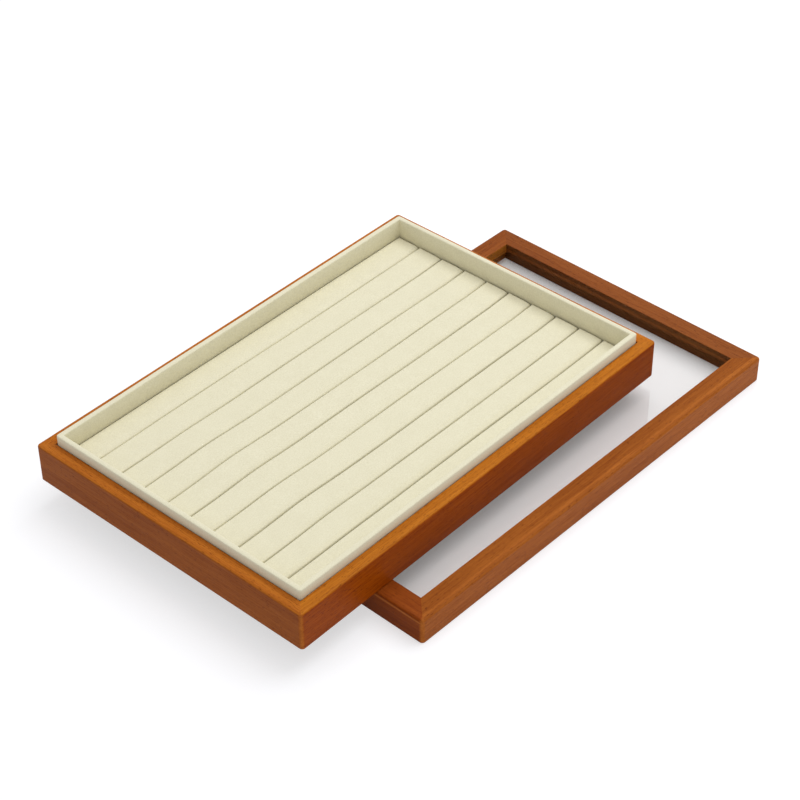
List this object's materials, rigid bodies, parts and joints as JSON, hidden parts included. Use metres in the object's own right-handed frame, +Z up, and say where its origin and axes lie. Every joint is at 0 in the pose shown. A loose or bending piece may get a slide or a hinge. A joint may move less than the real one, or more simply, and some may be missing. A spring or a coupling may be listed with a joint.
{
  "type": "ring display tray",
  "caption": "Low wooden display tray with a lift-out cloth liner of padded ring rolls, resting on its separate wood-framed glass lid.",
  "frame": {"origin": "under the middle of the box round the tray and its lid, on the surface that the lid lies on", "axes": "+X along the tray's long side and its rolls, +Y from the tray's front rail to its back rail, +Z up"},
  "size_m": [0.42, 0.2798, 0.0562],
  "materials": {
    "stained_wood": "satin stain and clear lacquer over open grain",
    "key_wood": "raw",
    "panel_board": "raw board",
    "lining_cloth": "short pile",
    "liner_board": "raw board",
    "cream_cloth": "microfibre with a short nap",
    "roll_foam": "open-cell foam",
    "clear_glass": "polished"
  },
  "bodies": {
    "lid": {"lid_rail_front": "stained_wood", "lid_rail_back": "stained_wood", "lid_rail_left": "stained_wood", "lid_rail_right": "stained_wood", "lid_corner_keys": "key_wood", "lid_glass": "clear_glass"},
    "base": {"base_rail_front": "stained_wood", "base_rail_back": "stained_wood", "base_rail_left": "stained_wood", "base_rail_right": "stained_wood", "base_corner_keys": "key_wood", "base_panel": "panel_board", "base_lining": "lining_cloth"},
    "liner": {"liner_floor": "liner_board", "liner_wall_front": "liner_board", "liner_wall_back": "liner_board", "liner_wall_left": "liner_board", "liner_wall_right": "liner_board", "liner_wrap": "cream_cloth", "roll_foam_01": "roll_foam", "roll_foam_02": "roll_foam", "roll_foam_03": "roll_foam", "roll_foam_04": "roll_foam", "roll_foam_05": "roll_foam", "roll_foam_06": "roll_foam", "roll_foam_07": "roll_foam", "roll_foam_08": "roll_foam", "roll_foam_09": "roll_foam", "roll_foam_10": "roll_foam", "roll_cover_01": "cream_cloth", "roll_cover_02": "cream_cloth", "roll_cover_03": "cream_cloth", "roll_cover_04": "cream_cloth", "roll_cover_05": "cream_cloth", "roll_cover_06": "cream_cloth", "roll_cover_07": "cream_cloth", "roll_cover_08": "cream_cloth", "roll_cover_09": "cream_cloth", "roll_cover_10": "cream_cloth"}
  },
  "joints": [
    {"name": "tray_lift", "type": "slide", "parent": "lid", "child": "base", "axis": [0, 0, 1], "range_m": [0, 0.08]},
    {"name": "liner_lift", "type": "slide", "parent": "base", "child": "liner", "axis": [0, 0, 1], "range_m": [0, 0.045]}
  ]
}
